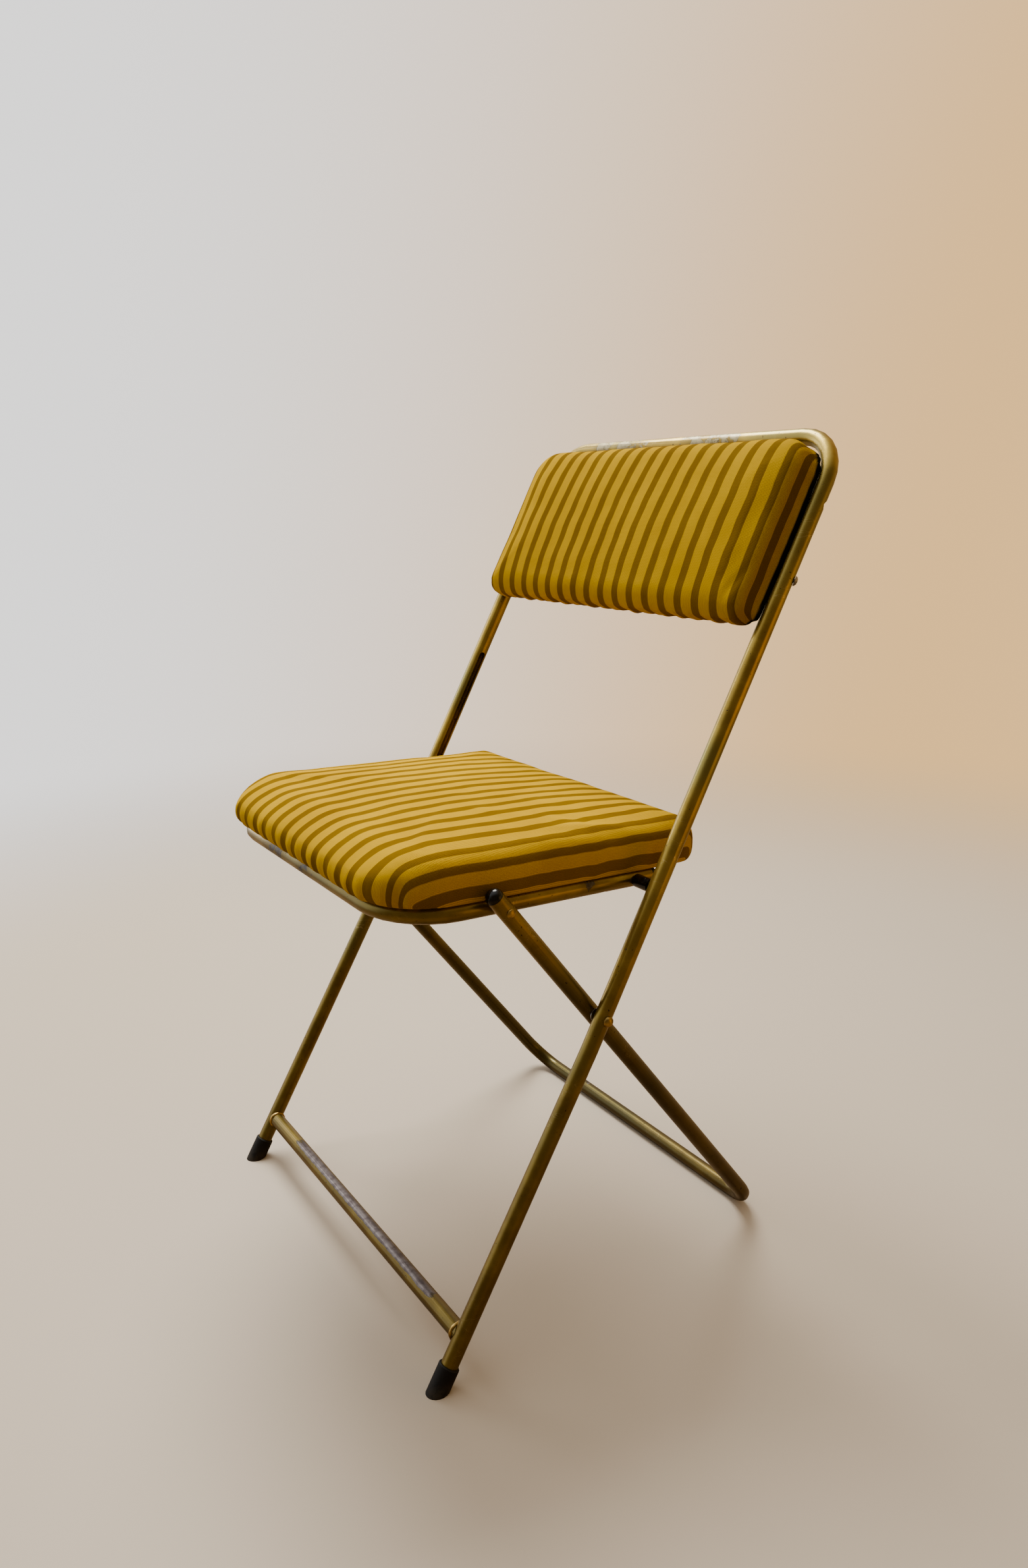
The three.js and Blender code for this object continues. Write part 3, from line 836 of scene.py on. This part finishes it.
_, rail_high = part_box("back_frame_tube")
seat_low, seat_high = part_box("seat_frame_tube")
rear_low, rear_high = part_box("rear_leg_tube")
rail = Vector((0, rail_high.y - TUBE_RADIUS, rail_high.z))
SEAT_TUBE_HEIGHT = 416 * MM
TOP_RAIL_WEAR = [
    (rail + Vector((60, 0, 0)) * MM, 42 * MM),
    (rail + Vector((25, 0, 2)) * MM, 34 * MM),
    (rail + Vector((-85, 0, 0)) * MM, 40 * MM),
    (rail + Vector((-130, -4, 0)) * MM, 26 * MM),
]
FRONT_TUBE_WEAR = [
    (Vector((-60 * MM, seat_low.y, SEAT_TUBE_HEIGHT)), 40 * MM),
    (Vector((10 * MM, seat_low.y, SEAT_TUBE_HEIGHT)), 24 * MM),
    (Vector((seat_high.x, -40 * MM, SEAT_TUBE_HEIGHT + 4 * MM)), 14 * MM),
]
REAR_BAR_WEAR = [
    (Vector((175 * MM, rear_high.y, rear_low.z + 14 * MM)), 22 * MM),
    (Vector((-100 * MM, rear_high.y, rear_low.z + 12 * MM)), 20 * MM),
]

# each painted_light pair is (factor high up, factor near the floor): painted light above 1, painted shade below 1
FINISHES = {
    "back_frame_tube": gold_paint(
        "gold_paint_back", TOP_RAIL_WEAR, painted_light=(1.5, 0.8), bare_tones=BARE_BRASS
    ),
    "seat_frame_tube": gold_paint("gold_paint_seat", FRONT_TUBE_WEAR, painted_light=(1.0, 0.6)),
    "rear_leg_tube": gold_paint("gold_paint_rear", REAR_BAR_WEAR, painted_light=(0.95, 0.40)),
    "front_rung": gold_paint("gold_paint_rung", rubbed=rubbed_rung, bare_tones=RUBBED_STEEL),
}
for subpart in frame["record"]["subparts"]:
    node = subpart["node"]
    if subpart["material_slot"] != "striped_fabric":
        dress(node, FINISHES.get(node) or SLOT_FINISHES[subpart["material_slot"]])

WELD_INSET = 5.5 * MM  # from the rung's end
rung_low, rung_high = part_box("front_rung")
rung_middle = (rung_low + rung_high) / 2
for word, side in (("left", 1), ("right", -1)):
    place = Vector((side * (rung_high.x - WELD_INSET), rung_middle.y, rung_middle.z))
    weld_bead(f"rung_weld_{word}", place, "back_frame", side)

# ---- studio ----

CAMERA_PLACE = Vector((0.9158, -0.6029, 0.7588))
CAMERA_AZIMUTH = math.radians(56.29)
CAMERA_DOWN = math.radians(14.79)
CAMERA_ROLL = math.radians(-1.254)
SENSOR_HEIGHT = 36
LENS = 25.256
VIEW_SHIFT = (-0.00147, -0.00370)

CHAIR_MIDDLE = Vector((0, 0, 0.5))
FLOOR_SEEN = ((0.66, 0.56, 0.43), (0.70, 0.60, 0.48))
FLOOR_THROWN = (0.24, 0.15, 0.065)


def add_camera():
    data = bpy.data.cameras.new("camera")
    data.sensor_fit = "VERTICAL"
    data.sensor_height = SENSOR_HEIGHT
    data.lens = LENS
    data.shift_x, data.shift_y = VIEW_SHIFT
    data.clip_start = 0.01
    camera = as_object("camera", data)
    turn = Matrix.Rotation(CAMERA_AZIMUTH, 4, "Z") @ Matrix.Rotation(math.pi / 2 - CAMERA_DOWN, 4, "X")
    camera.matrix_world = Matrix.Translation(CAMERA_PLACE) @ turn @ Matrix.Rotation(CAMERA_ROLL, 4, "Z")
    bpy.context.scene.camera = camera


def add_light(name, place, size, power, color):
    """A soft rectangular light that faces the chair."""
    data = bpy.data.lights.new(name, "AREA")
    data.shape = "RECTANGLE"
    data.size, data.size_y = size
    data.energy = power
    data.color = color
    light = as_object(name, data)
    turn = (Vector(place) - CHAIR_MIDDLE).to_track_quat("Z", "Y").to_matrix().to_4x4()
    light.matrix_world = Matrix.Translation(place) @ turn


def add_floor():
    """A pale floor that fades out of sight, so that it meets the backdrop without a line.

    It throws back only a little warm light, as a rug would.
    """
    size = 12.0
    corners = [(-size, -size, 0), (size, -size, 0), (size, size, 0), (-size, size, 0)]
    mesh = bpy.data.meshes.new("floor")
    mesh.from_pydata(corners, [], [(0, 1, 2, 3)])
    floor = as_object("floor", mesh)
    g = Graph("pale_floor")
    radius = g.node("VectorMath", {0: g.place}, "Value", operation="LENGTH")
    seen = g.node("LightPath", {}, "Is Camera Ray")
    g.finish(
        Base_Color=g.mix(seen, FLOOR_THROWN, g.mix(g.noise(1.2, 2), *FLOOR_SEEN)),
        Roughness=0.6,
        Alpha=g.ramp(radius, 2.4, 0.9),
        Normal=g.bump(g.noise(60, 4), 0.0006, 0.2),
    )
    mesh.materials.append(g.material)


def add_world():
    """A pale room: cool on the window side, and warm opposite.

    It throws back less light than it shows, least of all from the +X and -Y side.
    """
    world = bpy.data.worlds.new("room")
    bpy.context.scene.world = world
    world.use_nodes = True
    tree = world.node_tree
    background = tree.nodes["Background"]
    coordinates = tree.nodes.new("ShaderNodeTexCoord")

    def lobe(direction, low, high):
        dot = tree.nodes.new("ShaderNodeVectorMath")
        dot.operation = "DOT_PRODUCT"
        dot.inputs[1].default_value = Vector(direction).normalized()
        tree.links.new(coordinates.outputs["Generated"], dot.inputs[0])
        ramp = tree.nodes.new("ShaderNodeMapRange")
        ramp.interpolation_type = "SMOOTHSTEP"
        ramp.inputs["From Min"].default_value = low
        ramp.inputs["From Max"].default_value = high
        tree.links.new(dot.outputs["Value"], ramp.inputs["Value"])
        return ramp.outputs[0]

    def blend(factor, first, second):
        mix = tree.nodes.new("ShaderNodeMix")
        mix.data_type = "RGBA"
        tree.links.new(factor, mix.inputs[0])
        for socket, value in ((mix.inputs[6], first), (mix.inputs[7], second)):
            if isinstance(value, tuple):
                socket.default_value = value
            else:
                tree.links.new(value, socket)
        return mix.outputs[2]

    warm_side = lobe((0.45, 0.90, -0.20), -0.35, 0.50)
    seen = blend(warm_side, (1.60, 1.58, 1.56, 1), (1.30, 0.78, 0.30, 1))
    thrown = blend(warm_side, (1.10, 1.08, 1.05, 1), (0.50, 0.32, 0.13, 1))
    thrown = blend(lobe((0.85, -0.50, -0.15), -0.15, 0.55), thrown, (0.17, 0.12, 0.06, 1))
    thrown = blend(lobe((0, 0, -1), -0.05, 0.45), thrown, (0.16, 0.10, 0.04, 1))
    direct = tree.nodes.new("ShaderNodeLightPath").outputs["Is Camera Ray"]
    tree.links.new(blend(direct, thrown, seen), background.inputs["Color"])
    background.inputs["Strength"].default_value = 1.0


add_camera()
add_floor()
add_world()
for name, place, size, power, color in (
    ("window", (-1.0, 0.3, 2.25), (0.9, 1.1), 62, (1.0, 0.96, 0.90)),
    ("side_window", (-1.7, -0.6, 1.1), (0.45, 1.4), 7, (1.0, 0.97, 0.92)),
    ("warm_bounce", (1.6, 1.0, 0.5), (1.0, 0.9), 2.5, (1.0, 0.52, 0.14)),
):
    add_light(name, place, size, power, color)
